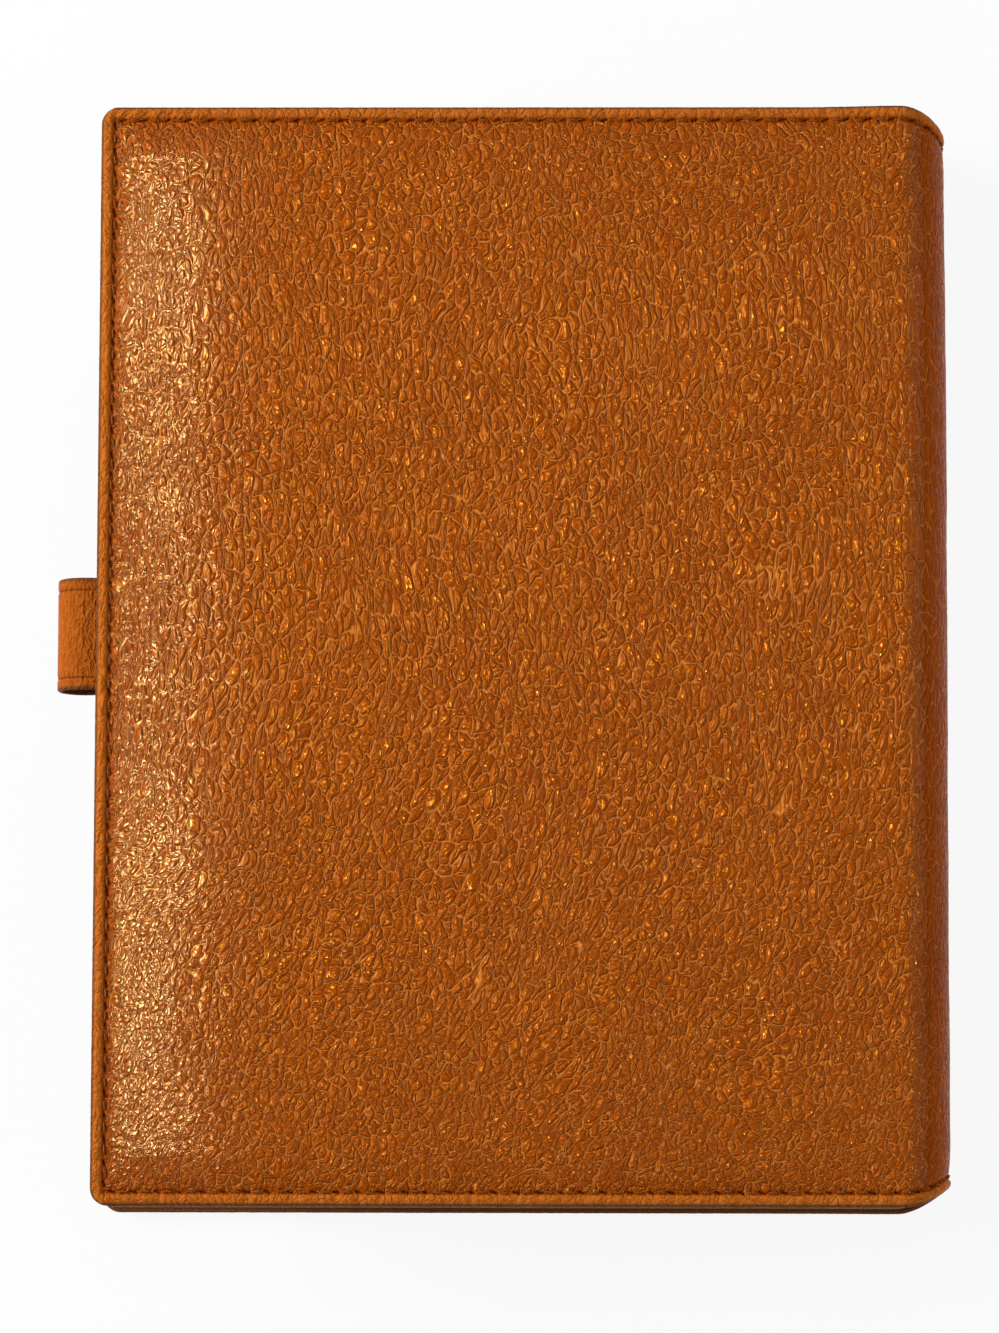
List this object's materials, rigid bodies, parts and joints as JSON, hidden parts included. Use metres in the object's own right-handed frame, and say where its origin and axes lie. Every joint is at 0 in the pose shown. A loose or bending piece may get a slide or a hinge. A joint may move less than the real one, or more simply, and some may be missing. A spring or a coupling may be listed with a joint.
{
  "type": "ring-bound agenda book",
  "caption": "Padded leather ring-bound agenda book with a folding spine, opening rings, turning leaves, inner pockets and a pen loop.",
  "frame": {"origin": "centre of the bounding box's base, on the flat of the front cover that the closed book lies on", "axes": "+X towards the spine, +Y towards the head of the pages, +Z towards the back cover"},
  "size_m": [0.1491, 0.185, 0.032],
  "materials": {
    "outer_leather": "glossy cognac leather with a raised pebbled grain",
    "lining": "smooth tan lining leather",
    "padding": "thin cream foam",
    "greyboard": "matt greyboard",
    "nickel": "polished nickel plate",
    "paper": "matt cream paper",
    "divider_card": "matt buff card",
    "clear_sheet": "frosted plastic sheet"
  },
  "bodies": {
    "front_cover": {"front_outer_leather": "outer_leather", "front_padding": "padding", "front_board": "greyboard", "front_lining": "lining", "front_pocket_panel": "lining", "card_slot_1": "lining", "card_slot_2": "lining", "card_slot_3": "lining"},
    "spine": {"spine_leather": "outer_leather", "spine_padding": "padding", "spine_board": "greyboard", "spine_lining": "lining", "ring_base_plate": "nickel", "tail_rivet": "nickel", "head_rivet": "nickel"},
    "front_rings": {"front_rail": "nickel", "front_half_ring_1": "nickel", "front_half_ring_2": "nickel", "front_half_ring_3": "nickel", "front_half_ring_4": "nickel", "front_half_ring_5": "nickel", "front_half_ring_6": "nickel"},
    "back_rings": {"back_rail": "nickel", "back_half_ring_1": "nickel", "back_half_ring_2": "nickel", "back_half_ring_3": "nickel", "back_half_ring_4": "nickel", "back_half_ring_5": "nickel", "back_half_ring_6": "nickel"},
    "tail_release": {"tail_lever": "nickel"},
    "head_release": {"head_lever": "nickel"},
    "front_leaves": {"page_marker": "clear_sheet", "early_pages": "paper", "front_flyleaf": "clear_sheet"},
    "back_leaves": {"late_pages": "paper", "note_divider": "divider_card", "note_pages": "paper", "address_divider": "divider_card", "address_pages": "paper", "back_flyleaf": "clear_sheet"},
    "back_cover": {"back_outer_leather": "outer_leather", "back_padding": "padding", "back_board": "greyboard", "back_lining": "lining", "back_pocket_panel": "lining", "pen_loop": "outer_leather"}
  },
  "joints": [
    {"name": "spine_fold", "type": "hinge", "parent": "front_cover", "child": "spine", "pos_m": [0.07212, 0, 0.00243], "axis": [0, 1, 0], "range_deg": [0, 90]},
    {"name": "back_cover_fold", "type": "hinge", "parent": "spine", "child": "back_cover", "pos_m": [0.07212, 0, 0.02957], "axis": [0, 1, 0], "range_deg": [0, 90]},
    {"name": "front_leaves_turn", "type": "hinge", "parent": "spine", "child": "front_leaves", "pos_m": [0.06015, 0, 0.016], "axis": [0, 1, 0], "range_deg": [-90, 0]},
    {"name": "back_leaves_turn", "type": "hinge", "parent": "spine", "child": "back_leaves", "pos_m": [0.06015, 0, 0.016], "axis": [0, 1, 0], "range_deg": [0, 90]},
    {"name": "front_rings_open", "type": "hinge", "parent": "spine", "child": "front_rings", "pos_m": [0.0693, 0, 0.0099], "axis": [0, -1, 0], "range_deg": [0, 9]},
    {"name": "back_rings_open", "type": "hinge", "parent": "spine", "child": "back_rings", "pos_m": [0.0693, 0, 0.0221], "axis": [0, 1, 0], "range_deg": [0, 9]},
    {"name": "tail_lever_press", "type": "hinge", "parent": "spine", "child": "tail_release", "pos_m": [0.06915, -0.0825, 0.016], "axis": [0, 0, 1], "range_deg": [0, 15]},
    {"name": "head_lever_press", "type": "hinge", "parent": "spine", "child": "head_release", "pos_m": [0.06915, 0.0825, 0.016], "axis": [0, 0, -1], "range_deg": [0, 15]}
  ],
  "couplings": [
    {"joint": "front_leaves_turn", "follows": "spine_fold", "ratio": -1},
    {"joint": "back_leaves_turn", "follows": "back_cover_fold", "ratio": 1},
    {"joint": "back_rings_open", "follows": "front_rings_open", "ratio": 1},
    {"joint": "tail_lever_press", "follows": "front_rings_open", "ratio": 1.6667},
    {"joint": "head_lever_press", "follows": "front_rings_open", "ratio": 1.6667}
  ]
}
